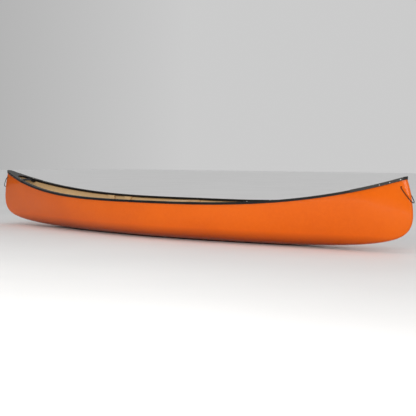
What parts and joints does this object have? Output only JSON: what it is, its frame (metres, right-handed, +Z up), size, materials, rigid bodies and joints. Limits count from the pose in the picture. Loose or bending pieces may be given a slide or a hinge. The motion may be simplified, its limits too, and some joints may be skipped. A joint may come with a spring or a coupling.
{
  "type": "open canoe",
  "caption": "Open two-person paddling canoe: lined plastic hull, black gunwales, wooden yoke, thwart and web seats, rope grab loops.",
  "frame": {"origin": "under the middle of the canoe, on the surface it rests on, at the keel's lowest point", "axes": "+X towards the bow, +Y to port, +Z up out of the open top"},
  "size_m": [5.2081, 0.8934, 0.6162],
  "materials": {
    "orange_hull": "smooth semi-gloss moulded skin, slightly scuffed low down",
    "tan_lining": "satin moulded skin with a fine pebble",
    "black_gunwale": "extruded vinyl, satin, faint lengthwise drawing lines",
    "black_deck": "moulded plastic, fine leather grain",
    "black_handle": "moulded plastic grip, satin",
    "ash_wood": "varnished ash, long straight grain",
    "seat_webbing": "woven flat nylon straps, basket weave",
    "loop_rope": "twisted black rope, slightly faded",
    "black_fastener": "rivet heads coloured to match the gunwales",
    "fastener_steel": "plain stainless steel"
  },
  "bodies": {
    "canoe": {"bow_carry_handle": "black_handle", "bow_carry_handle_bolts": "fastener_steel", "bow_carry_handle_nuts": "fastener_steel", "bow_deck_plate": "black_deck", "bow_deck_rivets": "fastener_steel", "bow_seat_aft_port_hanger": "ash_wood", "bow_seat_aft_rail": "ash_wood", "bow_seat_aft_starboard_hanger": "ash_wood", "bow_seat_bolts": "fastener_steel", "bow_seat_forward_port_hanger": "ash_wood", "bow_seat_forward_rail": "ash_wood", "bow_seat_forward_starboard_hanger": "ash_wood", "bow_seat_nuts": "fastener_steel", "bow_seat_port_side_rail": "ash_wood", "bow_seat_starboard_side_rail": "ash_wood", "bow_seat_webbing": "seat_webbing", "centre_yoke": "ash_wood", "gunwale_rivets": "black_fastener", "hull_lining": "tan_lining", "hull_shell": "orange_hull", "port_gunwale": "black_gunwale", "starboard_gunwale": "black_gunwale", "stern_carry_handle": "black_handle", "stern_carry_handle_bolts": "fastener_steel", "stern_carry_handle_nuts": "fastener_steel", "stern_deck_plate": "black_deck", "stern_deck_rivets": "fastener_steel", "stern_seat_aft_port_hanger": "ash_wood", "stern_seat_aft_rail": "ash_wood", "stern_seat_aft_starboard_hanger": "ash_wood", "stern_seat_bolts": "fastener_steel", "stern_seat_forward_port_hanger": "ash_wood", "stern_seat_forward_rail": "ash_wood", "stern_seat_forward_starboard_hanger": "ash_wood", "stern_seat_nuts": "fastener_steel", "stern_seat_port_side_rail": "ash_wood", "stern_seat_starboard_side_rail": "ash_wood", "stern_seat_webbing": "seat_webbing", "stern_thwart": "ash_wood", "stern_thwart_bolts": "fastener_steel", "stern_thwart_nuts": "fastener_steel", "yoke_bolts": "fastener_steel", "yoke_nuts": "fastener_steel"},
    "bow_grab_loop": {"bow_grab_loop": "loop_rope", "bow_grab_loop_knots": "loop_rope"},
    "stern_grab_loop": {"stern_grab_loop": "loop_rope", "stern_grab_loop_knots": "loop_rope"}
  },
  "joints": [
    {"name": "bow_grab_loop_swing", "type": "hinge", "parent": "canoe", "child": "bow_grab_loop", "pos_m": [2.5075, 0, 0.53425], "axis": [0, -1, 0], "range_deg": [0, 100]},
    {"name": "stern_grab_loop_swing", "type": "hinge", "parent": "canoe", "child": "stern_grab_loop", "pos_m": [-2.5075, 0, 0.53425], "axis": [0, 1, 0], "range_deg": [0, 104]}
  ]
}
